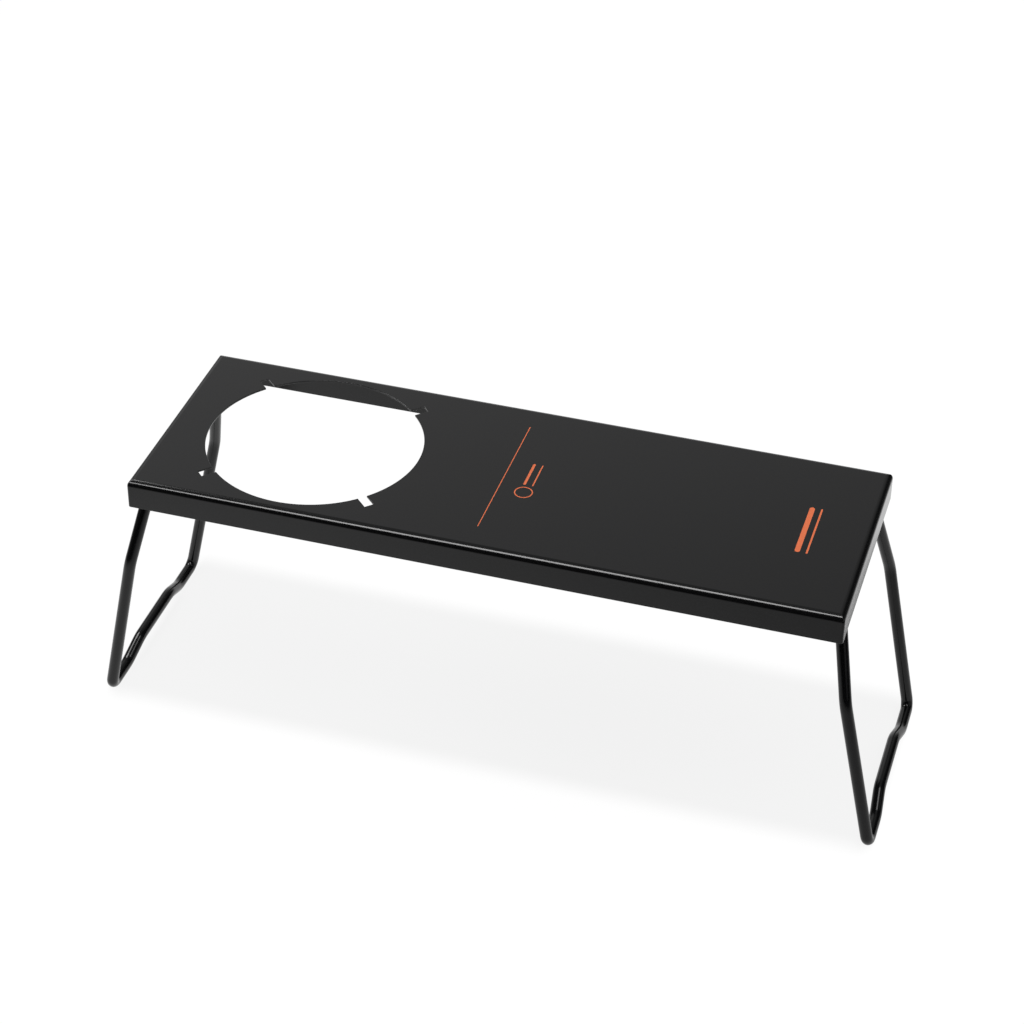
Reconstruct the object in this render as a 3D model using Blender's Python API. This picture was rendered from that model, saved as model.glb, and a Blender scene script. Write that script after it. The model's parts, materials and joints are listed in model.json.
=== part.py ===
"""Camping table: a folded sheet-steel top with a stove hole, standing on two wire legs that fold in.

Units are metres. The origin is on the floor under the middle of the table. +X runs along the table to
the right, +Y to the back and +Z up. The legs are shown unfolded, as the table stands.
"""

import math

import bmesh
import bpy
from mathutils import Vector

# Table top: one sheet, folded down on all four sides
LENGTH = 0.390
WIDTH = 0.1337
HEIGHT = 0.1555
SHEET = 0.001
FLANGE_DEPTH = 0.0167
FOLD_RADIUS = 0.0037
CORNER_RADIUS = 0.0014
CORNER_LEAST = 0.0003

# Stove hole, near the left end, and its four diagonal notches
HOLE_SIDE_MARGIN = 0.0072
HOLE_END_MARGIN = 0.0231
NOTCH_DEPTH = 0.0083
NOTCH_WIDTH = 0.0052
NOTCH_COUNT = 4

# Legs: two equal closed loops of wire, each in one plane that leans outwards
WIRE = 0.0066
LEAN = math.radians(11.7)
HINGE_BAR = 0.0878
SHOULDER_DROP = 0.0557
LEG_TAPER = 0.0019
FOOT_LENGTH = 0.0226
JOG_LENGTH = 0.0161
FOOT_RISE = 0.0069
HINGE_BEND = 0.012
SHOULDER_BEND = 0.0245
FOOT_BEND = 0.006
JOG_BEND = 0.0185

# Hinge clips: four straps that hold the legs' upper bars under the top
CLIP_SHEET = 0.001
CLIP_WIDTH = 0.012
CLIP_SPACING = 0.054
CLIP_FOOT = 0.009
CLIP_LIP = 0.0012
CLIP_BEND = 0.0006

# Clearances: between pieces that touch, and beside a leg folded into the top
CLEARANCE = 0.0003
FOLDED_SIDE_CLEARANCE = 0.0005

# Facets of the curved faces
FOLD_STEPS = 6
CORNER_STEPS = 4
HOLE_STEPS = 16
WIRE_SIDES = 16
CLIP_STEPS = 12
BEND_STEP = math.radians(11.25)

# Worked out from the sizes above
UNDERSIDE = HEIGHT - SHEET
HOLE_RADIUS = WIDTH / 2 - HOLE_SIDE_MARGIN
HOLE_X = -LENGTH / 2 + HOLE_END_MARGIN + HOLE_RADIUS
WIRE_RADIUS = WIRE / 2
SEAT_RADIUS = WIRE_RADIUS + CLEARANCE
HINGE_Z = UNDERSIDE - SEAT_RADIUS
FLANGE_INSIDE = LENGTH / 2 - SHEET
HINGE_TO_FLANGE_EDGE = HINGE_Z - (HEIGHT - FLANGE_DEPTH)
HINGE_X_AT_STOP = FLANGE_INSIDE - SEAT_RADIUS / math.cos(LEAN) - HINGE_TO_FLANGE_EDGE * math.tan(LEAN)
HINGE_X_BESIDE_CLIP = FLANGE_INSIDE - SEAT_RADIUS - CLIP_SHEET - CLEARANCE
HINGE_X = min(HINGE_X_AT_STOP, HINGE_X_BESIDE_CLIP)
LEG_REACH = (HINGE_Z - WIRE_RADIUS) / math.cos(LEAN)
SHOULDER_Y = WIDTH / 2 - SHEET - FOLDED_SIDE_CLEARANCE - WIRE_RADIUS
FOOT_Y = SHOULDER_Y - LEG_TAPER

TOP_COLOUR = (0.040, 0.040, 0.041, 1.0)
WIRE_COLOUR = (0.022, 0.022, 0.023, 1.0)


def clear_scene():
    """Remove every object of the open scene."""
    for item in list(bpy.data.objects):
        bpy.data.objects.remove(item, do_unlink=True)


def painted_steel(name, colour, roughness):
    """Return a painted-steel material."""
    material = bpy.data.materials.new(name)
    material.use_nodes = True
    shader = material.node_tree.nodes["Principled BSDF"]
    shader.inputs["Base Color"].default_value = colour
    shader.inputs["Roughness"].default_value = roughness
    shader.inputs["Metallic"].default_value = 0.0
    return material


def mesh_from(name, bm):
    """Turn a bmesh into a smooth-shaded mesh with its faces pointing out."""
    bmesh.ops.recalc_face_normals(bm, faces=bm.faces)
    mesh = bpy.data.meshes.new(name)
    bm.to_mesh(mesh)
    bm.free()
    mesh.shade_smooth()
    mesh.set_sharp_from_angle(angle=math.radians(30))
    return mesh


def add_object(name, mesh, material=None, location=(0, 0, 0), rotation=(0, 0, 0)):
    """Add a mesh to the scene as a named object."""
    item = bpy.data.objects.new(name, mesh)
    item.location = location
    item.rotation_euler = rotation
    bpy.context.scene.collection.objects.link(item)
    if material and not mesh.materials:
        mesh.materials.append(material)
    return item


def arc(centre_x, centre_y, radius, start, end, steps):
    """Return the points of an arc from one angle to another, both ends included."""
    points = []
    for step in range(steps + 1):
        angle = start + (end - start) * step / steps
        points.append((centre_x + radius * math.cos(angle), centre_y + radius * math.sin(angle)))
    return points


def rounded_rectangle(half_x, half_y, radius):
    """Return the outline of a rectangle with round corners, centred on the origin."""
    points = []
    quarter = math.pi / 2
    for index, (sign_x, sign_y) in enumerate([(1, 1), (-1, 1), (-1, -1), (1, -1)]):
        centre_x = sign_x * (half_x - radius)
        centre_y = sign_y * (half_y - radius)
        points += arc(centre_x, centre_y, radius, index * quarter, (index + 1) * quarter, CORNER_STEPS)
    return points


def rounded_loop(corners):
    """Return the points of a closed path from (point, bend radius) corners, each rounded by its radius."""
    points = []
    for index, (corner, radius) in enumerate(corners):
        before = corners[index - 1][0] - corner
        after = corners[(index + 1) % len(corners)][0] - corner
        turn = math.pi - before.angle(after)
        tangent = min(radius * math.tan(turn / 2), before.length * 0.49, after.length * 0.49)
        bend = tangent / math.tan(turn / 2)
        start = corner + before.normalized() * tangent
        centre = corner + (before.normalized() + after.normalized()).normalized() * (bend / math.cos(turn / 2))
        side = start - centre
        along = -before.normalized() * bend
        steps = max(2, math.ceil(turn / BEND_STEP))
        for step in range(steps + 1):
            angle = turn * step / steps
            points.append(centre + side * math.cos(angle) + along * math.sin(angle))
    return points


def bridge(bm, loops, closed):
    """Join neighbouring vertex loops with faces, and the last to the first if the row is closed."""
    pairs = list(zip(loops, loops[1:]))
    if closed:
        pairs.append((loops[-1], loops[0]))
    for one, two in pairs:
        for index in range(len(one)):
            following = (index + 1) % len(one)
            bm.faces.new((one[index], one[following], two[following], two[index]))


def tray_section():
    """Return the sheet's section at its edge, as (inset, height), from the top face to the underside."""
    fold_z = HEIGHT - FOLD_RADIUS
    flange_z = HEIGHT - FLANGE_DEPTH
    quarter = math.pi / 2
    outside = arc(FOLD_RADIUS, fold_z, FOLD_RADIUS, quarter, 2 * quarter, FOLD_STEPS)
    inside = arc(FOLD_RADIUS, fold_z, FOLD_RADIUS - SHEET, 2 * quarter, quarter, FOLD_STEPS)
    return outside + [(0, flange_z), (SHEET, flange_z)] + inside


def tray_mesh():
    """Make the folded sheet with its four flanges, before its hole is cut."""
    bm = bmesh.new()
    loops = []
    for inset, height in tray_section():
        radius = max(CORNER_RADIUS - inset, CORNER_LEAST)
        outline = rounded_rectangle(LENGTH / 2 - inset, WIDTH / 2 - inset, radius)
        loops.append([bm.verts.new((x, y, height)) for x, y in outline])
    bridge(bm, loops, closed=False)
    bm.faces.new(loops[0])
    bm.faces.new(reversed(loops[-1]))
    return mesh_from("table_top", bm)


def hole_outline():
    """Return the outline of the stove hole: a circle with square notches that point along its diagonals."""
    half_width = NOTCH_WIDTH / 2
    reach = HOLE_RADIUS + NOTCH_DEPTH
    half_angle = math.asin(half_width / HOLE_RADIUS)
    pitch = 2 * math.pi / NOTCH_COUNT
    points = []
    for notch in range(NOTCH_COUNT):
        angle = pitch * (notch + 0.5)
        out = Vector((math.cos(angle), math.sin(angle)))
        across = Vector((-out.y, out.x))
        for side in (-1, 1):
            end = out * reach + across * side * half_width
            points.append((HOLE_X + end.x, end.y))
        points += arc(HOLE_X, 0, HOLE_RADIUS, angle + half_angle, angle + pitch - half_angle, HOLE_STEPS)
    return points


def prism_mesh(name, outline, axis, start, end):
    """Extrude an outline along Z, or an outline in X and Z along Y."""
    bm = bmesh.new()
    loops = []
    for level in (start, end):
        if axis == "Z":
            loops.append([bm.verts.new((x, y, level)) for x, y in outline])
        else:
            loops.append([bm.verts.new((x, level, z)) for x, z in outline])
    bridge(bm, loops, closed=False)
    for loop in loops:
        bm.faces.new(loop)
    return mesh_from(name, bm)


def add_table_top(material):
    """Add the folded top and cut its stove hole."""
    top = add_object("table_top", tray_mesh(), material)
    cutter_mesh = prism_mesh("stove_hole", hole_outline(), "Z", UNDERSIDE - SHEET, HEIGHT + SHEET)
    cutter = add_object("stove_hole", cutter_mesh)
    cutter.hide_render = True
    cutter.display_type = "WIRE"
    cut = top.modifiers.new("stove hole", "BOOLEAN")
    cut.operation = "DIFFERENCE"
    cut.solver = "EXACT"
    cut.object = cutter
    return top


def leg_path():
    """Return a leg's centreline in its own plane, with its hinge bar on the Y axis and its foot below."""
    jog_out = FOOT_Y - FOOT_LENGTH
    jog_in = jog_out - JOG_LENGTH
    right_half = [
        (Vector((HINGE_BAR / 2, 0)), HINGE_BEND),
        (Vector((SHOULDER_Y, -SHOULDER_DROP)), SHOULDER_BEND),
        (Vector((FOOT_Y, -LEG_REACH)), FOOT_BEND),
        (Vector((jog_out, -LEG_REACH)), JOG_BEND),
        (Vector((jog_in, FOOT_RISE - LEG_REACH)), JOG_BEND),
    ]
    left_half = [(Vector((-corner.x, corner.y)), radius) for corner, radius in reversed(right_half)]
    return rounded_loop(right_half + left_half)


def leg_mesh():
    """Sweep the wire round a leg's closed path, with one edge of its foot turned to the floor."""
    bm = bmesh.new()
    path = [Vector((0, point.x, point.y)) for point in leg_path()]
    normal = Vector((1, 0, 0))
    loops = []
    for index, point in enumerate(path):
        following = path[(index + 1) % len(path)]
        forward = (following - point).normalized() + (point - path[index - 1]).normalized()
        outward = normal.cross(forward).normalized()
        loop = []
        for side in range(WIRE_SIDES):
            angle = 2 * math.pi * side / WIRE_SIDES - LEAN
            loop.append(bm.verts.new(point + (outward * math.cos(angle) + normal * math.sin(angle)) * WIRE_RADIUS))
        loops.append(loop)
    bridge(bm, loops, closed=True)
    return mesh_from("leg", bm)


def clip_outline():
    """Return a clip's section in X and Z about its leg's hinge axis, with its foot towards the middle."""
    outer_radius = SEAT_RADIUS + CLIP_SHEET
    foot_top = SEAT_RADIUS - CLEARANCE
    foot_bottom = foot_top - CLIP_SHEET
    foot_end = -outer_radius - CLIP_BEND - CLIP_FOOT
    half_turn = math.pi
    quarter = math.pi / 2
    bend_x = -outer_radius - CLIP_BEND
    bend_z = foot_bottom - CLIP_BEND
    bend_out = arc(bend_x, bend_z, CLIP_BEND, quarter, 0, FOLD_STEPS)
    bend_in = arc(bend_x, bend_z, CLIP_BEND + CLIP_SHEET, 0, quarter, FOLD_STEPS)
    under = arc(0, 0, outer_radius, half_turn, 2 * half_turn, CLIP_STEPS)
    over = arc(0, 0, SEAT_RADIUS, 2 * half_turn, half_turn, CLIP_STEPS)
    lip = [(outer_radius, CLIP_LIP), (SEAT_RADIUS, CLIP_LIP)]
    return [(foot_end, foot_top), (foot_end, foot_bottom)] + bend_out + under + lip + over + bend_in


def add_legs_and_clips(leg_material, clip_material):
    """Add each end's leg, with its origin on its hinge axis, and the two clips that hold it."""
    leg = leg_mesh()
    clip = prism_mesh("hinge_clip", clip_outline(), "Y", -CLIP_WIDTH / 2, CLIP_WIDTH / 2)
    for end, sign, turn in (("right", 1, 0), ("left", -1, math.pi)):
        add_object(f"{end}_leg", leg, leg_material, (sign * HINGE_X, 0, HINGE_Z), (0, -LEAN, turn))
        for side, side_sign in (("front", -1), ("back", 1)):
            place = (sign * HINGE_X, side_sign * CLIP_SPACING / 2, HINGE_Z)
            add_object(f"{end}_{side}_hinge_clip", clip, clip_material, place, (0, 0, turn))


def main():
    """Build the table."""
    clear_scene()
    top_paint = painted_steel("matt_dark_grey_paint", TOP_COLOUR, 0.55)
    leg_paint = painted_steel("black_paint", WIRE_COLOUR, 0.35)
    add_table_top(top_paint)
    add_legs_and_clips(leg_paint, top_paint)


main()
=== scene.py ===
"""Camping table: the looks of a folded sheet-steel stove table on two fold-in wire legs.

Every size is in metres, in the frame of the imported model: the origin is on the floor under the middle of
the table, +X runs along it to the right, +Y to the back and +Z up.
"""

import json
import math

import bmesh
import bpy
from bpy.props import FloatProperty, FloatVectorProperty, IntProperty, PointerProperty
from mathutils import Matrix, Vector


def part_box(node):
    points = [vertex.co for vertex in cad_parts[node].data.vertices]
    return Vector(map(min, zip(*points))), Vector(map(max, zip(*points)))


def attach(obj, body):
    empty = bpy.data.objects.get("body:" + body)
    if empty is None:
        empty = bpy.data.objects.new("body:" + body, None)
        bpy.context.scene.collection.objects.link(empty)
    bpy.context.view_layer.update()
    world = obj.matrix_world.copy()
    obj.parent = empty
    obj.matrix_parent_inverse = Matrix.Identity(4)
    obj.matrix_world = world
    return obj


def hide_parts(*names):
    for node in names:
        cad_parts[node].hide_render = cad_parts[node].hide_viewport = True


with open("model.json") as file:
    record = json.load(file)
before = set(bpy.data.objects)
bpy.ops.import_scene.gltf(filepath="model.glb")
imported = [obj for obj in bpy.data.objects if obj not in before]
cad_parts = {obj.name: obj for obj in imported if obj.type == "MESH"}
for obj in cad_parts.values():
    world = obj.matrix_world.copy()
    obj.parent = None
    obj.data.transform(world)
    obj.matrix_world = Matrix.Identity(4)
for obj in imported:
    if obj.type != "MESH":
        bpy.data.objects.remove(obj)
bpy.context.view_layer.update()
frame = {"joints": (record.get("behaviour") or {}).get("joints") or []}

bl_info = {
    "name": "Camping table",
    "version": (1, 0, 0),
    "blender": (4, 5, 0),
    "location": "3D View > Sidebar > Camping table",
    "description": "Builds the painted steel top, wire legs, hinge clips and print of a folding stove table",
    "category": "Add Mesh",
}

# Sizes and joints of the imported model
TOP_LOW, TOP_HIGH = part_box("table_top")
LENGTH = TOP_HIGH.x - TOP_LOW.x
WIDTH = TOP_HIGH.y - TOP_LOW.y
HEIGHT = TOP_HIGH.z
HINGES = {joint["child"]: Vector(joint["pos_m"]) for joint in frame["joints"]}
TOP_BODY = "top"
LEG_BODIES = {"left_leg": "left_leg_frame", "right_leg": "right_leg_frame"}
CLIP_NODES = tuple(f"{end}_{side}_hinge_clip" for end in ("left", "right") for side in ("front", "back"))

MILLIMETRE = 0.001
QUARTER_TURN = math.pi / 2

# Facets of the curved faces, and how sharp an edge has to be to be shaded sharp or eased by the paint
FOLD_STEPS = 10
CORNER_STEPS = 8
HOLE_STEPS = 48
WIRE_SIDES = 36
WIRE_BEND_STEP = math.radians(4)
CLIP_BEND_STEPS = 8
CLIP_WRAP_STEPS = 40
DENT_SEGMENTS = 96
DENT_RINGS = 64
BAR_END_STEPS = 10
RING_STEPS = 72
SHARP_ANGLE = math.radians(35)
EASED_ANGLE = math.radians(50)
EASED_SEGMENTS = 3
FLAT_FACE_WEIGHT = 100

# Butt weld of a wire loop: (place along it in half lengths, height as a part of the bead's) pairs
WELD_PROFILE = ((-1.5, 0), (-1, 0.12), (-0.7, 0.7), (-0.3, 1), (0.3, 1), (0.7, 0.7), (1, 0.12), (1.5, 0))

# The floor that glossy surfaces mirror: a painted pool of light, palest to the left and at the back
FLOOR_RADIUS = 6
FLOOR_SIDES = 96
POOL_FADE = {"From Min": 0.35, "From Max": 0.75, "To Min": 1.0, "To Max": 0.06}
POOL_LEVEL = 0.875
POOL_SLOPE = (-0.75, 1.0, 0)

# The floor that the camera sees: mostly an even white, with a painted even shade between the table's feet,
# and the rest takes the soft shadow of the lamps
PAPER_LEVEL = 1.03
EVEN_SHARE = 0.94
PAINTED_SHADE_MIDDLE_Y = 0.005
PAINTED_SHADE_ENDS = {"From Min": 0.214, "From Max": 0.222, "To Min": 1.0, "To Max": 0.0}
PAINTED_SHADE_EDGES = {"From Min": 0.056, "From Max": 0.077, "To Min": 0.113, "To Max": 0.0}

# The room that glossy surfaces mirror, by the direction in which they see it
WALL_LEVEL = 1.09
WALL_SLOPE = (-0.55, 0.0, -1.2)
CEILING_LEVEL = 0.30
BACK_WALL_START = {"From Min": -0.45, "From Max": -0.05, "To Min": 0.02, "To Max": 1.0}
BACK_WALL_MIDDLE_X = -0.135
BACK_WALL_SIDES = {"From Min": 0.605, "From Max": 0.335, "To Min": 0.05, "To Max": 1.0}
FRONT_SIDES = {"From Min": 0.55, "From Max": 0.70, "To Min": 0.0, "To Max": 0.35}
FRONT_SIDES_END = {"From Min": 0.45, "From Max": 0.25, "To Min": 0.0, "To Max": 1.0}

# The light that the room gives to all but glossy surfaces, and the backdrop that the camera sees
ROOM_LEVEL = 0.30
BACKDROP_LEVEL = 1.0

SENSOR_WIDTH = 36
CAMERA_NEAR = 0.01


def linear(hex_colour):
    """Turn a hex colour, as seen on a screen, into linear red, green and blue."""
    channels = [int(hex_colour[first:first + 2], 16) / 255 for first in (1, 3, 5)]
    return tuple(c / 12.92 if c <= 0.04045 else ((c + 0.055) / 1.055) ** 2.4 for c in channels)


def length(name, description, default):
    """Describe one length that a user may change."""
    return FloatProperty(name=name, description=description, default=default, min=0.0, precision=5,
                         subtype="DISTANCE", unit="LENGTH")


def position(name, description, default):
    """Describe one place along an axis, which may lie on either side of the middle."""
    return FloatProperty(name=name, description=description, default=default, precision=6,
                         subtype="DISTANCE", unit="LENGTH")


def angle(name, description, degrees):
    """Describe one angle that a user may change."""
    return FloatProperty(name=name, description=description, default=math.radians(degrees),
                         subtype="ANGLE", unit="ROTATION")


def colour(name, description, default):
    """Describe one colour that a user may change."""
    return FloatVectorProperty(name=name, description=description, default=linear(default), size=3,
                               min=0.0, max=1.0, subtype="COLOR")


class TopSizes(bpy.types.PropertyGroup):
    """Sizes of the folded sheet top."""

    sheet: length("Sheet", "Thickness of the painted sheet", 0.001)
    fold: length("Fold radius", "Outside radius of the folds", 0.0037)
    corner: length("Corner radius", "Outside radius of the flange corners, seen from above", 0.0014)
    corner_least: length("Least corner", "Corner radius where the fold takes the corner in", 0.0003)
    edge: length("Edge radius", "Radius that the paint gives the cut edges", 0.00018)
    side_margin: length("Hole side margin", "Plate between the hole and the front or back edge", 0.0072)
    end_margin: length("Hole end margin", "Plate between the hole and the left end", 0.0231)
    notch_depth: length("Notch depth", "Depth of the notches outside the hole", 0.0083)
    notch_width: length("Notch width", "Width of the notches", 0.0052)
    notches: IntProperty(name="Notches", description="Number of notches round the hole", default=4, min=1)


class LegSizes(bpy.types.PropertyGroup):
    """Sizes of one bent-wire leg."""

    wire: length("Wire", "Diameter of the coated wire", 0.0066)
    lean: angle("Lean", "Outward lean of an unfolded leg", 11.7)
    hinge_bar: length("Hinge bar", "Distance between the corners of the upper bar", 0.0878)
    shoulder_drop: length("Shoulder drop", "From the hinge bar down to the shoulder bends", 0.0557)
    side_clearance: length("Side clearance", "Beside a leg folded into the top", 0.0005)
    taper: length("Taper", "How much each rod draws in from shoulder to foot", 0.0019)
    foot: length("Foot", "From a foot corner in to its jog", 0.0226)
    jog: length("Jog", "Length of the jog up to the raised run", 0.0161)
    rise: length("Rise", "Height of the raised run over the feet", 0.0069)
    hinge_bend: length("Hinge bend", "Bend radius beside the hinge bar", 0.012)
    shoulder_bend: length("Shoulder bend", "Bend radius of the shoulders", 0.0245)
    foot_bend: length("Foot bend", "Bend radius of the foot corners", 0.0060)
    jog_bend: length("Jog bend", "Bend radius of the jogs", 0.0185)
    weld: length("Weld bead", "How far the butt weld stands out of the wire", 0.00025)
    weld_length: length("Weld length", "Length of the butt weld along the wire", 0.0032)


class ClipSizes(bpy.types.PropertyGroup):
    """Sizes of one hinge clip."""

    sheet: length("Strap", "Thickness of the strap", 0.001)
    width: length("Width", "Width of the strap", 0.012)
    spacing: length("Spacing", "Distance between the two clips of a leg", 0.054)
    foot: length("Foot", "Length of the welded foot", 0.009)
    bend: length("Bend", "Inside radius of the bend at the foot", 0.0006)
    lip: length("Lip", "Height of the free edge over the hinge axis", 0.0012)
    gap: length("Gap", "Clearance round the hinge bar", 0.0003)
    edge: length("Edge radius", "Radius that the paint gives the strap's edges", 0.00015)
    weld: length("Spot weld", "Radius of the dent that spot welding leaves", 0.0018)
    weld_depth: length("Weld depth", "Depth of that dent", 0.00025)


class PrintSizes(bpy.types.PropertyGroup):
    """Sizes and places of the marks printed on the top, measured from its middle."""

    ink: length("Ink", "Thickness of the printed ink", 0.00004)
    line: length("Line width", "Width of the dividing line", 0.00048)
    line_length: length("Line length", "Length of the dividing line", 0.0968)
    line_x: position("Line place", "Dividing line, along the table", -0.0040)
    ring: length("Ring", "Outside diameter of the small ring", 0.0101)
    ring_line: length("Ring line", "Line width of the small ring", 0.00065)
    ring_x: position("Ring place", "Middle of the small ring, along the table", 0.0101)
    ring_y: position("Ring depth", "Middle of the small ring, across the table", -0.0119)
    bar_low: position("Bars' front end", "Front end of the two short bars, across the table", -0.0050)
    bar_high: position("Bars' back end", "Back end of the two short bars, across the table", 0.0150)
    wide_bar: length("Wide bar", "Width of the wider short bar", 0.0014)
    wide_bar_x: position("Wide bar place", "Middle of the wider short bar, along the table", 0.0085)
    fine_bar: length("Fine bar", "Width of the finer short bar", 0.0007)
    fine_bar_x: position("Fine bar place", "Middle of the finer short bar, along the table", 0.0131)
    badge_length: length("Badge length", "Length of the plain stripes at the right end", 0.0410)
    badge_y: position("Badge depth", "Middle of the plain stripes, across the table", 0.0010)
    wide_stripe: length("Wide stripe", "Width of the wide stripe", 0.0028)
    wide_stripe_x: position("Wide stripe place", "Middle of the wide stripe, along the table", 0.1600)
    fine_stripe: length("Fine stripe", "Width of the fine stripe", 0.0010)
    fine_stripe_x: position("Fine stripe place", "Middle of the fine stripe, along the table", 0.1651)


class TableColours(bpy.types.PropertyGroup):
    """Colours of the finishes."""

    top: colour("Top", "Powder coat of the top and the hinge clips", "#0A0A0B")
    wire: colour("Wire", "Enamel of the wire legs", "#09090A")
    ink: colour("Ink", "Printed marks", "#DE6C3C")
    floor: colour("Floor", "Studio floor", "#FFFFFF")


class StudioSizes(bpy.types.PropertyGroup):
    """The camera's place, as a camera fitted to the photograph gives it."""

    azimuth: angle("Azimuth", "Camera's turn to the right of the table's front", 16.424)
    elevation: angle("Elevation", "Camera's height angle", 35.998)
    roll: angle("Roll", "Camera's roll", 0.765)
    distance: length("Distance", "From the middle of the top to the camera, along its view", 1.46652)
    rise: position("Rise", "Camera's place above the middle of the top, in its own view", -0.018926)
    aside: position("Aside", "Camera's place to the right of the middle of the top", 0.000112)
    focal: FloatProperty(name="Focal length", description="Focal length in millimetres", default=96.115,
                         unit="CAMERA")


class TableSettings(bpy.types.PropertyGroup):
    """All that a user may change."""

    top: PointerProperty(type=TopSizes)
    leg: PointerProperty(type=LegSizes)
    clip: PointerProperty(type=ClipSizes)
    marks: PointerProperty(type=PrintSizes)
    colours: PointerProperty(type=TableColours)
    studio: PointerProperty(type=StudioSizes)


def add_node(tree, kind, inputs=None, links=None, **settings):
    """Add a node, give it its settings and input values, and link its inputs to other nodes' outputs."""
    node = tree.nodes.new(kind)
    for name, value in settings.items():
        setattr(node, name, value)
    for name, value in (inputs or {}).items():
        node.inputs[name].default_value = value
    for name, (source, output) in (links or {}).items():
        tree.links.new(source.outputs[output], node.inputs[name])
    return node


def new_material(name):
    """Add an empty node material, and return it with its tree and the coordinates of the object."""
    material = bpy.data.materials.new(name)
    material.use_nodes = True
    tree = material.node_tree
    tree.nodes.clear()
    place = add_node(tree, "ShaderNodeTexCoord")
    return material, tree, place


def toned(tree, base, pattern, least, most):
    """Vary a colour's brightness by a noise pattern, from the least to the most part of it."""
    tone = add_node(tree, "ShaderNodeMapRange", {"To Min": least, "To Max": most},
                    {"Value": (pattern, "Fac")})
    return add_node(tree, "ShaderNodeVectorMath", {0: tuple(base)}, {"Scale": (tone, "Result")},
                    operation="SCALE")


def powder_coated_sheet(settings):
    """Powder coat on sheet steel, sprayed dry and baked: it melts into a fine, even, satin grain."""
    material, tree, place = new_material("powder_coated_sheet")
    grain_mm = 0.55
    cloud_mm = 45.0
    grain_height_mm = 0.02
    grain = add_node(tree, "ShaderNodeTexNoise", {"Scale": 1 / (grain_mm * MILLIMETRE), "Detail": 3.0},
                     {"Vector": (place, "Object")})
    cloud = add_node(tree, "ShaderNodeTexNoise", {"Scale": 1 / (cloud_mm * MILLIMETRE), "Detail": 2.0},
                     {"Vector": (place, "Object")})
    base = toned(tree, settings.colours.top, grain, least=0.85, most=1.15)
    sheen = add_node(tree, "ShaderNodeMapRange", {"To Min": 0.13, "To Max": 0.16}, {"Value": (cloud, "Fac")})
    relief = add_node(tree, "ShaderNodeBump", {"Strength": 0.2, "Distance": grain_height_mm * MILLIMETRE},
                      {"Height": (grain, "Fac")})
    shader = add_node(tree, "ShaderNodeBsdfPrincipled", {"IOR": 1.45},
                      {"Base Color": (base, "Vector"), "Roughness": (sheen, "Result"),
                       "Normal": (relief, "Normal")})
    add_node(tree, "ShaderNodeOutputMaterial", links={"Surface": (shader, "BSDF")})
    return material


def dipped_wire_enamel(settings):
    """Black enamel baked on steel wire: it flows smooth and half glossy, with a faint orange peel."""
    material, tree, place = new_material("dipped_wire_enamel")
    peel_mm = 1.6
    peel_height_mm = 0.03
    peel = add_node(tree, "ShaderNodeTexNoise", {"Scale": 1 / (peel_mm * MILLIMETRE), "Detail": 2.0},
                    {"Vector": (place, "Object")})
    base = toned(tree, settings.colours.wire, peel, least=0.85, most=1.15)
    sheen = add_node(tree, "ShaderNodeMapRange", {"To Min": 0.12, "To Max": 0.18}, {"Value": (peel, "Fac")})
    relief = add_node(tree, "ShaderNodeBump", {"Strength": 0.2, "Distance": peel_height_mm * MILLIMETRE},
                      {"Height": (peel, "Fac")})
    shader = add_node(tree, "ShaderNodeBsdfPrincipled", {"IOR": 1.38},
                      {"Base Color": (base, "Vector"), "Roughness": (sheen, "Result"),
                       "Normal": (relief, "Normal")})
    add_node(tree, "ShaderNodeOutputMaterial", links={"Surface": (shader, "BSDF")})
    return material


def screen_printed_ink(settings):
    """Orange ink pressed through a mesh on to the powder coat: flat, and duller than the satin under it."""
    material, tree, place = new_material("screen_printed_ink")
    # A printer's mesh is finer than this: it is drawn coarser so that it shows
    mesh_mm = 0.3
    mesh = add_node(tree, "ShaderNodeTexNoise", {"Scale": 1 / (mesh_mm * MILLIMETRE), "Detail": 1.0},
                    {"Vector": (place, "Object")})
    base = toned(tree, settings.colours.ink, mesh, least=0.88, most=1.08)
    shader = add_node(tree, "ShaderNodeBsdfPrincipled", {"Roughness": 0.55, "IOR": 1.45},
                      {"Base Color": (base, "Vector")})
    add_node(tree, "ShaderNodeOutputMaterial", links={"Surface": (shader, "BSDF")})
    return material


def mesh_object(name, bm, material):
    """Turn a bmesh into a smooth-shaded object with its faces pointing out."""
    bmesh.ops.recalc_face_normals(bm, faces=bm.faces)
    mesh = bpy.data.meshes.new(name)
    bm.to_mesh(mesh)
    bm.free()
    mesh.shade_smooth()
    mesh.set_sharp_from_angle(angle=SHARP_ANGLE)
    mesh.materials.append(material)
    item = bpy.data.objects.new(name, mesh)
    bpy.context.scene.collection.objects.link(item)
    return item


def apply_modifiers(item):
    """Make an object's evaluated mesh its own mesh."""
    view = bpy.context.evaluated_depsgraph_get()
    mesh = bpy.data.meshes.new_from_object(item.evaluated_get(view))
    item.modifiers.clear()
    item.data = mesh


def arc(centre_x, centre_y, radius, start, end, steps):
    """Return the points of an arc from one angle to another, both ends included."""
    points = []
    for step in range(steps + 1):
        turn = start + (end - start) * step / steps
        points.append((centre_x + radius * math.cos(turn), centre_y + radius * math.sin(turn)))
    return points


def rounded_rectangle(half_x, half_y, radius, steps):
    """Return the outline of a rectangle with round corners, centred on the origin."""
    points = []
    for index, (sign_x, sign_y) in enumerate([(1, 1), (-1, 1), (-1, -1), (1, -1)]):
        centre_x = sign_x * (half_x - radius)
        centre_y = sign_y * (half_y - radius)
        points += arc(centre_x, centre_y, radius, index * QUARTER_TURN, (index + 1) * QUARTER_TURN, steps)
    return points


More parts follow.
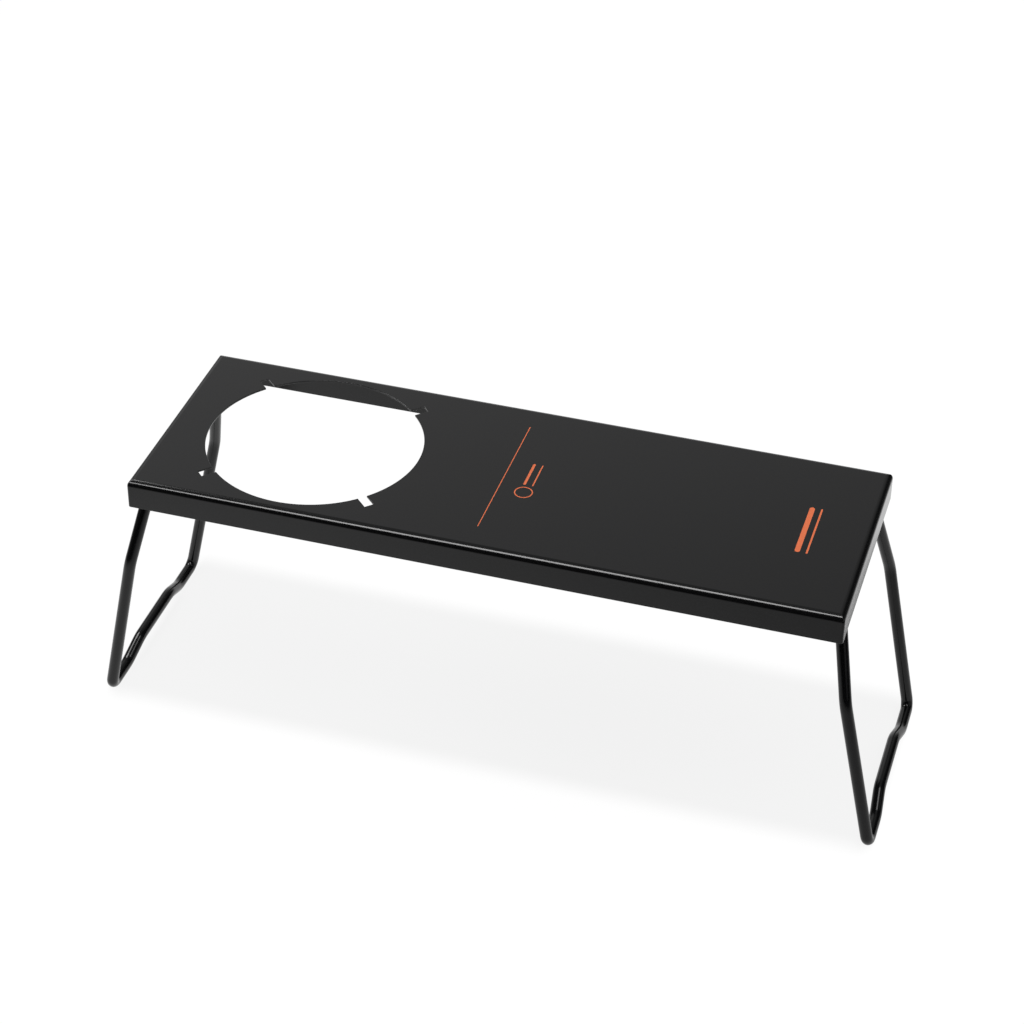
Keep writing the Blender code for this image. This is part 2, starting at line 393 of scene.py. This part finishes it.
def rounded_loop(corners, step_angle):
    """Return the points of a closed path from (point, bend radius) corners, each rounded by its radius."""
    # Two bends share each side of the path, so that neither may take quite half of it
    longest_share = 0.49
    points = []
    for index, (corner, radius) in enumerate(corners):
        before = corners[index - 1][0] - corner
        after = corners[(index + 1) % len(corners)][0] - corner
        turn = math.pi - before.angle(after)
        shorter = min(before.length, after.length)
        tangent = min(radius * math.tan(turn / 2), shorter * longest_share)
        bend = tangent / math.tan(turn / 2)
        start = corner + before.normalized() * tangent
        inward = (before.normalized() + after.normalized()).normalized()
        centre = corner + inward * (bend / math.cos(turn / 2))
        side = start - centre
        along = -before.normalized() * bend
        steps = max(2, math.ceil(turn / step_angle))
        for step in range(steps + 1):
            part = turn * step / steps
            points.append(centre + side * math.cos(part) + along * math.sin(part))
    return points


def bridge(bm, loops, closed):
    """Join neighbouring vertex loops with faces, and the last to the first if the row is closed."""
    pairs = list(zip(loops, loops[1:]))
    if closed:
        pairs.append((loops[-1], loops[0]))
    for one, two in pairs:
        for index in range(len(one)):
            following = (index + 1) % len(one)
            bm.faces.new((one[index], one[following], two[following], two[index]))


def add_prism(bm, outline, start, end, upright=True):
    """Extrude an outline in X and Y along Z, or an outline in X and Z along Y."""
    loops = []
    for level in (start, end):
        if upright:
            loops.append([bm.verts.new((x, y, level)) for x, y in outline])
        else:
            loops.append([bm.verts.new((x, level, z)) for x, z in outline])
    bridge(bm, loops, closed=False)
    for loop in loops:
        bm.faces.new(loop)


def cut_away(item, cutter):
    """Cut one object out of another, and remove the cutter."""
    cut = item.modifiers.new("cut", "BOOLEAN")
    cut.operation = "DIFFERENCE"
    cut.solver = "EXACT"
    cut.object = cutter
    apply_modifiers(item)
    bpy.data.objects.remove(cutter, do_unlink=True)


def ease_edges(item, radius):
    """Round the sharp edges as the paint does, and keep the flat faces flat in the light."""
    ease = item.modifiers.new("eased edges", "BEVEL")
    ease.width = radius
    ease.segments = EASED_SEGMENTS
    ease.limit_method = "ANGLE"
    ease.angle_limit = EASED_ANGLE
    even = item.modifiers.new("flat faces stay flat", "WEIGHTED_NORMAL")
    even.keep_sharp = True
    even.weight = FLAT_FACE_WEIGHT
    apply_modifiers(item)


def hole_outline(sizes):
    """Return the stove hole's outline: a circle with square notches along its diagonals."""
    radius = WIDTH / 2 - sizes.side_margin
    centre = TOP_LOW.x + sizes.end_margin + radius
    half_width = sizes.notch_width / 2
    half_angle = math.asin(half_width / radius)
    pitch = 2 * math.pi / sizes.notches
    points = []
    for notch in range(sizes.notches):
        turn = pitch * (notch + 0.5)
        out = Vector((math.cos(turn), math.sin(turn)))
        across = Vector((-out.y, out.x))
        for side in (-1, 1):
            end = out * (radius + sizes.notch_depth) + across * side * half_width
            points.append((centre + end.x, end.y))
        points += arc(centre, 0, radius, turn + half_angle, turn + pitch - half_angle, HOLE_STEPS)
    return points


def folded_sheet(sizes, material):
    """Fold the sheet down on its four sides, before its hole is cut."""
    fold_z = HEIGHT - sizes.fold
    outside = arc(sizes.fold, fold_z, sizes.fold, QUARTER_TURN, 2 * QUARTER_TURN, FOLD_STEPS)
    inside = arc(sizes.fold, fold_z, sizes.fold - sizes.sheet, 2 * QUARTER_TURN, QUARTER_TURN, FOLD_STEPS)
    section = outside + [(0, TOP_LOW.z), (sizes.sheet, TOP_LOW.z)] + inside
    bm = bmesh.new()
    loops = []
    for inset, height in section:
        radius = max(sizes.corner - inset, sizes.corner_least)
        outline = rounded_rectangle(LENGTH / 2 - inset, WIDTH / 2 - inset, radius, CORNER_STEPS)
        loops.append([bm.verts.new((x, y, height)) for x, y in outline])
    bridge(bm, loops, closed=False)
    bm.faces.new(loops[0])
    bm.faces.new(reversed(loops[-1]))
    return mesh_object("folded_top", bm, material)


def table_top(settings, material):
    """Fold the sheet, cut its stove hole, and ease its cut edges."""
    sizes = settings.top
    top = folded_sheet(sizes, material)
    bm = bmesh.new()
    add_prism(bm, hole_outline(sizes), HEIGHT - 2 * sizes.sheet, HEIGHT + sizes.sheet)
    cut_away(top, mesh_object("stove_hole_cutter", bm, material))
    ease_edges(top, sizes.edge)
    return top


def leg_corners(sizes, sheet, reach):
    """Return the corners of a leg's centreline in its own plane, with the hinge bar at the top."""
    shoulder_y = WIDTH / 2 - sheet - sizes.side_clearance - sizes.wire / 2
    foot_y = shoulder_y - sizes.taper
    jog_out = foot_y - sizes.foot
    jog_in = jog_out - sizes.jog
    half = [
        (Vector((sizes.hinge_bar / 2, 0)), sizes.hinge_bend),
        (Vector((shoulder_y, -sizes.shoulder_drop)), sizes.shoulder_bend),
        (Vector((foot_y, -reach)), sizes.foot_bend),
        (Vector((jog_out, -reach)), sizes.jog_bend),
        (Vector((jog_in, sizes.rise - reach)), sizes.jog_bend),
    ]
    other_half = [(Vector((-corner.x, corner.y)), radius) for corner, radius in reversed(half)]
    return half + other_half


def leg_path(settings, hinge):
    """Return the (point, wire radius) pairs along a leg's loop, with the weld bead on its hinge bar."""
    sizes = settings.leg
    radius = sizes.wire / 2
    reach = (hinge.z - radius) / math.cos(sizes.lean)
    bends = rounded_loop(leg_corners(sizes, settings.top.sheet, reach), WIRE_BEND_STEP)
    path = [(Vector((0, point.x, point.y)), radius) for point in bends]
    for along, proud in WELD_PROFILE:
        path.append((Vector((0, along * sizes.weld_length / 2, 0)), radius + sizes.weld * proud))
    return path


def wire_leg(name, settings, material):
    """Sweep the wire round a leg's loop, and turn it about its hinge to its outward lean.

    The rings of the wire are turned back by the lean, so that each has a corner that points straight down.
    """
    lean = settings.leg.lean
    hinge = HINGES[LEG_BODIES[name]]
    path = leg_path(settings, hinge)
    normal = Vector((1, 0, 0))
    bm = bmesh.new()
    loops = []
    for index, (point, thick) in enumerate(path):
        following = path[(index + 1) % len(path)][0]
        forward = (following - point).normalized() + (point - path[index - 1][0]).normalized()
        outward = normal.cross(forward).normalized()
        loop = []
        for side in range(WIRE_SIDES):
            turn = 2 * math.pi * side / WIRE_SIDES - lean
            loop.append(bm.verts.new(point + (outward * math.cos(turn) + normal * math.sin(turn)) * thick))
        loops.append(loop)
    bridge(bm, loops, closed=True)
    turned = Matrix.Rotation(0 if hinge.x > 0 else math.pi, 4, "Z")
    leaning = Matrix.Rotation(-lean, 4, "Y")
    bmesh.ops.transform(bm, matrix=Matrix.Translation(hinge) @ turned @ leaning, verts=bm.verts)
    return mesh_object(f"{name}_wire", bm, material)


def clip_outline(sizes, wire):
    """Return a clip's section in X and Z about its leg's hinge axis, with its foot towards the middle."""
    seat = wire / 2 + sizes.gap
    outside = seat + sizes.sheet
    foot_top = seat - sizes.gap
    foot_bottom = foot_top - sizes.sheet
    bend_x = -outside - sizes.bend
    bend_z = foot_bottom - sizes.bend
    foot_end = bend_x - sizes.foot
    bend_out = arc(bend_x, bend_z, sizes.bend, QUARTER_TURN, 0, CLIP_BEND_STEPS)
    bend_in = arc(bend_x, bend_z, sizes.bend + sizes.sheet, 0, QUARTER_TURN, CLIP_BEND_STEPS)
    under = arc(0, 0, outside, 2 * QUARTER_TURN, 4 * QUARTER_TURN, CLIP_WRAP_STEPS)
    over = arc(0, 0, seat, 4 * QUARTER_TURN, 2 * QUARTER_TURN, CLIP_WRAP_STEPS)
    lip = [(outside, sizes.lip), (seat, sizes.lip)]
    return [(foot_end, foot_top), (foot_end, foot_bottom)] + bend_out + under + lip + over + bend_in


def weld_dent(sizes, wire, material):
    """Return the ball that dents a clip's foot where it is spot-welded."""
    ball = (sizes.weld ** 2 + sizes.weld_depth ** 2) / (2 * sizes.weld_depth)
    foot_bottom = wire / 2 - sizes.sheet
    foot_middle = -wire / 2 - sizes.gap - sizes.sheet - sizes.bend - sizes.foot / 2
    bm = bmesh.new()
    bmesh.ops.create_uvsphere(bm, u_segments=DENT_SEGMENTS, v_segments=DENT_RINGS, radius=ball)
    centre = Vector((foot_middle, 0, foot_bottom + sizes.weld_depth - ball))
    bmesh.ops.translate(bm, vec=centre, verts=bm.verts)
    return mesh_object("weld_dent_cutter", bm, material)


def hinge_clip(name, settings, material):
    """Bend one strap round its leg's hinge bar, and dent its foot where it is spot-welded to the top."""
    sizes = settings.clip
    wire = settings.leg.wire
    end, side = name.split("_")[:2]
    hinge = HINGES[LEG_BODIES[f"{end}_leg"]]
    place = Vector((hinge.x, sizes.spacing / 2 * (1 if side == "back" else -1), hinge.z))
    turned = Matrix.Rotation(0 if hinge.x > 0 else math.pi, 4, "Z")
    bm = bmesh.new()
    add_prism(bm, clip_outline(sizes, wire), -sizes.width / 2, sizes.width / 2, upright=False)
    clip = mesh_object(f"{name}_strap", bm, material)
    cut_away(clip, weld_dent(sizes, wire, material))
    ease_edges(clip, sizes.edge)
    clip.data.transform(Matrix.Translation(place) @ turned)
    return clip


def rounded_bar(middle_x, middle_y, width, run):
    """Return the outline of a bar along the table's width, with round ends."""
    radius = width / 2
    reach = run / 2 - radius
    back = arc(middle_x, middle_y + reach, radius, 0, math.pi, BAR_END_STEPS)
    front = arc(middle_x, middle_y - reach, radius, math.pi, 2 * math.pi, BAR_END_STEPS)
    return back + front


def printed_marks(settings, material):
    """Lay the dividing line, the ring, the short bars and the plain stripes on the top as thin ink."""
    marks = settings.marks
    bars_y = (marks.bar_low + marks.bar_high) / 2
    bars_run = marks.bar_high - marks.bar_low
    low, high = HEIGHT - marks.ink, HEIGHT + marks.ink
    outlines = [
        rounded_bar(marks.line_x, 0, marks.line, marks.line_length),
        rounded_bar(marks.wide_bar_x, bars_y, marks.wide_bar, bars_run),
        rounded_bar(marks.fine_bar_x, bars_y, marks.fine_bar, bars_run),
        rounded_bar(marks.wide_stripe_x, marks.badge_y, marks.wide_stripe, marks.badge_length),
        rounded_bar(marks.fine_stripe_x, marks.badge_y, marks.fine_stripe, marks.badge_length),
    ]
    bm = bmesh.new()
    for outline in outlines:
        add_prism(bm, outline, low, high)
    outer = marks.ring / 2
    inner = outer - marks.ring_line
    loops = []
    for radius, level in ((outer, low), (outer, high), (inner, high), (inner, low)):
        circle = arc(marks.ring_x, marks.ring_y, radius, 0, 2 * math.pi, RING_STEPS)[:-1]
        loops.append([bm.verts.new((x, y, level)) for x, y in circle])
    bridge(bm, loops, closed=True)
    return mesh_object("printed_marks", bm, material)


class CAMPINGTABLE_OT_make_top(bpy.types.Operator):
    """Fold the sheet-steel top and cut its stove hole"""

    bl_idname = "camping_table.make_top"
    bl_label = "Make top"

    def execute(self, context):
        settings = context.scene.camping_table
        top = table_top(settings, powder_coated_sheet(settings))
        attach(top, TOP_BODY)
        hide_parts("table_top")
        return {"FINISHED"}


class CAMPINGTABLE_OT_make_legs(bpy.types.Operator):
    """Bend the two wire legs"""

    bl_idname = "camping_table.make_legs"
    bl_label = "Make legs"

    def execute(self, context):
        settings = context.scene.camping_table
        enamel = dipped_wire_enamel(settings)
        for node, body in LEG_BODIES.items():
            leg = wire_leg(node, settings, enamel)
            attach(leg, body)
            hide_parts(node)
        return {"FINISHED"}


class CAMPINGTABLE_OT_make_clips(bpy.types.Operator):
    """Bend the four hinge clips and weld them under the top"""

    bl_idname = "camping_table.make_clips"
    bl_label = "Make hinge clips"

    def execute(self, context):
        settings = context.scene.camping_table
        coat = powder_coated_sheet(settings)
        for node in CLIP_NODES:
            clip = hinge_clip(node, settings, coat)
            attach(clip, TOP_BODY)
            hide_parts(node)
        return {"FINISHED"}


class CAMPINGTABLE_OT_make_marks(bpy.types.Operator):
    """Print the orange marks on the top"""

    bl_idname = "camping_table.make_marks"
    bl_label = "Print marks"

    def execute(self, context):
        settings = context.scene.camping_table
        marks = printed_marks(settings, screen_printed_ink(settings))
        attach(marks, TOP_BODY)
        return {"FINISHED"}


class CAMPINGTABLE_OT_make_stage(bpy.types.Operator):
    """Set up the camera, the floor, the lamps and the room round them"""

    bl_idname = "camping_table.make_stage"
    bl_label = "Make stage"

    def execute(self, context):
        settings = context.scene.camping_table
        place_camera(context, settings.studio)
        lay_floor(settings)
        hang_lamps()
        surround(context)
        return {"FINISHED"}


def place_camera(context, studio):
    """Stand the camera where a camera fitted to the photograph stood."""
    azimuth, elevation, roll = studio.azimuth, studio.elevation, studio.roll
    back = Vector((math.sin(azimuth) * math.cos(elevation), -math.cos(azimuth) * math.cos(elevation),
                   math.sin(elevation)))
    right = Vector((math.cos(azimuth), math.sin(azimuth), 0))
    up = back.cross(right)
    right, up = (right * math.cos(roll) + up * math.sin(roll), up * math.cos(roll) - right * math.sin(roll))
    data = bpy.data.cameras.new("camera")
    data.sensor_width = SENSOR_WIDTH
    data.lens = studio.focal
    data.clip_start = CAMERA_NEAR
    camera = bpy.data.objects.new("camera", data)
    turn = Matrix((right, up, back)).transposed().to_4x4()
    centre = Vector((0, 0, HEIGHT))
    place = centre + right * studio.aside + up * studio.rise + back * studio.distance
    camera.matrix_world = Matrix.Translation(place) @ turn
    context.scene.collection.objects.link(camera)
    context.scene.camera = camera


def painted_light_pool(tree, place):
    """Paint a pool of light on the paper round the table for glossy surfaces, fading with distance."""
    away = add_node(tree, "ShaderNodeVectorMath", links={0: (place, "Object")}, operation="LENGTH")
    # The painted pool of light: brightest near the table, and palest to the left and at the back
    pool = add_node(tree, "ShaderNodeMapRange", POOL_FADE, {"Value": (away, "Value")})
    drift = add_node(tree, "ShaderNodeVectorMath", {1: POOL_SLOPE}, {0: (place, "Object")},
                     operation="DOT_PRODUCT")
    tilt = add_node(tree, "ShaderNodeMath", {1: POOL_LEVEL}, {0: (drift, "Value")}, operation="ADD")
    return add_node(tree, "ShaderNodeMath", links={0: (pool, "Result"), 1: (tilt, "Value")},
                    operation="MULTIPLY", use_clamp=True)


def paper_with_painted_shade(tree, place):
    """Show the camera white paper, with a painted even shade between the feet that has soft, straight edges.
    """
    centred = add_node(tree, "ShaderNodeVectorMath", {1: (0, -PAINTED_SHADE_MIDDLE_Y, 0)}, {0: (place, "Object")},
                       operation="ADD")
    reach = add_node(tree, "ShaderNodeVectorMath", links={0: (centred, "Vector")}, operation="ABSOLUTE")
    sides = add_node(tree, "ShaderNodeSeparateXYZ", links={"Vector": (reach, "Vector")})
    ends = add_node(tree, "ShaderNodeMapRange", PAINTED_SHADE_ENDS, {"Value": (sides, "X")})
    edges = add_node(tree, "ShaderNodeMapRange", PAINTED_SHADE_EDGES, {"Value": (sides, "Y")},
                     interpolation_type="SMOOTHSTEP")
    # The painted shade: a soft-edged rectangle between the feet, taken off the paper's white
    shade = add_node(tree, "ShaderNodeMath", links={0: (ends, "Result"), 1: (edges, "Result")},
                     operation="MULTIPLY")
    return add_node(tree, "ShaderNodeMath", {0: PAPER_LEVEL}, {1: (shade, "Value")}, operation="SUBTRACT")


def matt_white_paper(settings):
    """Uncoated white paper: it is matt, and an even white but for a painted even shade between the feet
    and the soft shadow that the table casts. Glossy surfaces see a painted pool of light on it.

    From below it is clear, so that the table's underside can be looked at.
    """
    material, tree, place = new_material("matt_white_paper")
    rays = add_node(tree, "ShaderNodeLightPath")
    # Glossy rays see the painted pool of light, and the camera sees the paper with its painted shade
    mirrored = painted_light_pool(tree, place)
    shown = paper_with_painted_shade(tree, place)
    strength = add_node(tree, "ShaderNodeMix",
                        links={"Factor": (rays, "Is Glossy Ray"), "A": (shown, "Value"),
                               "B": (mirrored, "Value")})
    lift = add_node(tree, "ShaderNodeEmission", {"Color": (1, 1, 1, 1)}, {"Strength": (strength, "Result")})
    paper = add_node(tree, "ShaderNodeBsdfDiffuse", {"Color": (*settings.colours.floor, 1)})
    even = add_node(tree, "ShaderNodeMath", {1: EVEN_SHARE}, {0: (rays, "Is Camera Ray")},
                    operation="MULTIPLY")
    seen = add_node(tree, "ShaderNodeMath", links={0: (even, "Value"), 1: (rays, "Is Glossy Ray")},
                    operation="MAXIMUM")
    mixed = add_node(tree, "ShaderNodeMixShader",
                     links={0: (seen, "Value"), 1: (paper, "BSDF"), 2: (lift, "Emission")})
    side = add_node(tree, "ShaderNodeNewGeometry")
    clear = add_node(tree, "ShaderNodeBsdfTransparent")
    one_way = add_node(tree, "ShaderNodeMixShader",
                       links={0: (side, "Backfacing"), 1: (mixed, "Shader"), 2: (clear, "BSDF")})
    add_node(tree, "ShaderNodeOutputMaterial", links={"Surface": (one_way, "Shader")})
    return material


def lay_floor(settings):
    """Lay a wide sheet of white paper under the table."""
    bm = bmesh.new()
    bmesh.ops.create_circle(bm, cap_ends=True, radius=FLOOR_RADIUS, segments=FLOOR_SIDES)
    floor = mesh_object("floor", bm, matt_white_paper(settings))


def add_lamp(name, size, power, place, target, along=(1, 0, 0)):
    """Hang one rectangular soft box that faces a point, with its longer side along a direction."""
    data = bpy.data.lights.new(name, "AREA")
    data.shape = "RECTANGLE"
    data.size, data.size_y = size
    data.energy = power
    lamp = bpy.data.objects.new(name, data)
    away = (Vector(place) - Vector(target)).normalized()
    side = (Vector(along) - away * away.dot(Vector(along))).normalized()
    turn = Matrix((side, away.cross(side), away)).transposed().to_4x4()
    lamp.matrix_world = Matrix.Translation(place) @ turn
    bpy.context.scene.collection.objects.link(lamp)
    return lamp


def hang_lamps():
    """Hang a wide soft box for light and shadow, and three smaller ones that show only in glossy surfaces.

    The strip glints along the front fold, and the last two glint on the feet.
    """
    wide = add_lamp("overhead", size=(2.4, 1.8), power=23, place=(0.2, 0, 1.5), target=(0, 0, 0))
    wide.visible_glossy = False
    glints = [
        add_lamp("strip", size=(1.35, 0.4), power=20, place=(-0.41, -0.85, 1.5), target=(-0.41, -0.85, 0),
                 along=(0.74, 0.67, 0)),
        add_lamp("left_glint", size=(0.5, 0.5), power=8, place=(-0.87, 0.33, 1.13), target=(0, 0, 0.15)),
        add_lamp("right_glint", size=(0.5, 0.5), power=4, place=(0.42, 0.14, 1.6), target=(0, 0, 0.15)),
    ]
    for lamp in glints:
        lamp.visible_diffuse = False


def rear_of_room(tree, place, way):
    """Light the back of the room, palest low down at the left, with a dim ceiling and dark sides."""
    slope = add_node(tree, "ShaderNodeVectorMath", {1: WALL_SLOPE}, {0: (place, "Generated")},
                     operation="DOT_PRODUCT")
    wall = add_node(tree, "ShaderNodeMath", {1: WALL_LEVEL}, {0: (slope, "Value")}, operation="ADD",
                    use_clamp=True)
    ceiling = add_node(tree, "ShaderNodeMath", {1: CEILING_LEVEL}, {0: (wall, "Value")},
                       operation="MAXIMUM")
    behind = add_node(tree, "ShaderNodeMapRange", BACK_WALL_START, {"Value": (way, "Y")})
    centred = add_node(tree, "ShaderNodeMath", {1: -BACK_WALL_MIDDLE_X}, {0: (way, "X")}, operation="ADD")
    reach = add_node(tree, "ShaderNodeMath", links={0: (centred, "Value")}, operation="ABSOLUTE")
    aside = add_node(tree, "ShaderNodeMapRange", BACK_WALL_SIDES, {"Value": (reach, "Value")})
    pale = add_node(tree, "ShaderNodeMath", links={0: (behind, "Result"), 1: (aside, "Result")},
                    operation="MULTIPLY")
    return add_node(tree, "ShaderNodeMath", links={0: (ceiling, "Value"), 1: (pale, "Value")},
                    operation="MULTIPLY")


def front_of_room(tree, way):
    """Light the two front sides of the room a little, and leave its front dark."""
    wide = add_node(tree, "ShaderNodeMath", links={0: (way, "X")}, operation="ABSOLUTE")
    flank = add_node(tree, "ShaderNodeMapRange", FRONT_SIDES, {"Value": (wide, "Value")})
    forward = add_node(tree, "ShaderNodeMapRange", FRONT_SIDES_END, {"Value": (way, "Y")})
    return add_node(tree, "ShaderNodeMath", links={0: (flank, "Result"), 1: (forward, "Result")},
                    operation="MULTIPLY")


def surround(context):
    """Give the camera a white backdrop, the table an even light, and its gloss a room to mirror."""
    world = bpy.data.worlds.new("studio")
    world.use_nodes = True
    tree = world.node_tree
    tree.nodes.clear()
    rays = add_node(tree, "ShaderNodeLightPath")
    place = add_node(tree, "ShaderNodeTexCoord")
    way = add_node(tree, "ShaderNodeSeparateXYZ", links={"Vector": (place, "Generated")})
    rear = rear_of_room(tree, place, way)
    front = front_of_room(tree, way)
    room = add_node(tree, "ShaderNodeMath", links={0: (rear, "Value"), 1: (front, "Value")},
                    operation="MAXIMUM")
    mirrored = add_node(tree, "ShaderNodeMix", {"A": ROOM_LEVEL},
                        {"Factor": (rays, "Is Glossy Ray"), "B": (room, "Value")})
    level = add_node(tree, "ShaderNodeMix", {"B": BACKDROP_LEVEL},
                     {"Factor": (rays, "Is Camera Ray"), "A": (mirrored, "Result")})
    back = add_node(tree, "ShaderNodeBackground", {"Color": (1, 1, 1, 1)}, {"Strength": (level, "Result")})
    add_node(tree, "ShaderNodeOutputWorld", links={"Surface": (back, "Background")})
    context.scene.world = world
    context.scene.view_settings.view_transform = "Standard"


class CAMPINGTABLE_PT_panel(bpy.types.Panel):
    """Lists the table's sizes and colours, and the steps that build it"""

    bl_idname = "CAMPINGTABLE_PT_panel"
    bl_label = "Camping table"
    bl_space_type = "VIEW_3D"
    bl_region_type = "UI"
    bl_category = "Camping table"

    def draw(self, context):
        settings = context.scene.camping_table
        pieces = (settings.top, settings.leg, settings.clip, settings.marks)
        for group in (*pieces, settings.colours, settings.studio):
            box = self.layout.box()
            for name in group.bl_rna.properties.keys():
                if name not in ("rna_type", "name"):
                    box.prop(group, name)
        for step in STEPS:
            self.layout.operator(step.bl_idname)


STEPS = (
    CAMPINGTABLE_OT_make_stage, CAMPINGTABLE_OT_make_top, CAMPINGTABLE_OT_make_legs,
    CAMPINGTABLE_OT_make_clips, CAMPINGTABLE_OT_make_marks,
)
CLASSES = (
    TopSizes, LegSizes, ClipSizes, PrintSizes, TableColours, StudioSizes, TableSettings, *STEPS,
    CAMPINGTABLE_PT_panel,
)


def register():
    """Register the classes and hang the settings on the scene."""
    for item in CLASSES:
        bpy.utils.register_class(item)
    bpy.types.Scene.camping_table = PointerProperty(type=TableSettings)


def unregister():
    """Take the settings and the classes away again."""
    del bpy.types.Scene.camping_table
    for item in reversed(CLASSES):
        bpy.utils.unregister_class(item)


def main():
    """Build every piece."""
    register()
    bpy.ops.camping_table.make_stage()
    bpy.ops.camping_table.make_top()
    bpy.ops.camping_table.make_legs()
    bpy.ops.camping_table.make_clips()
    bpy.ops.camping_table.make_marks()


if __name__ == "__main__":
    main()
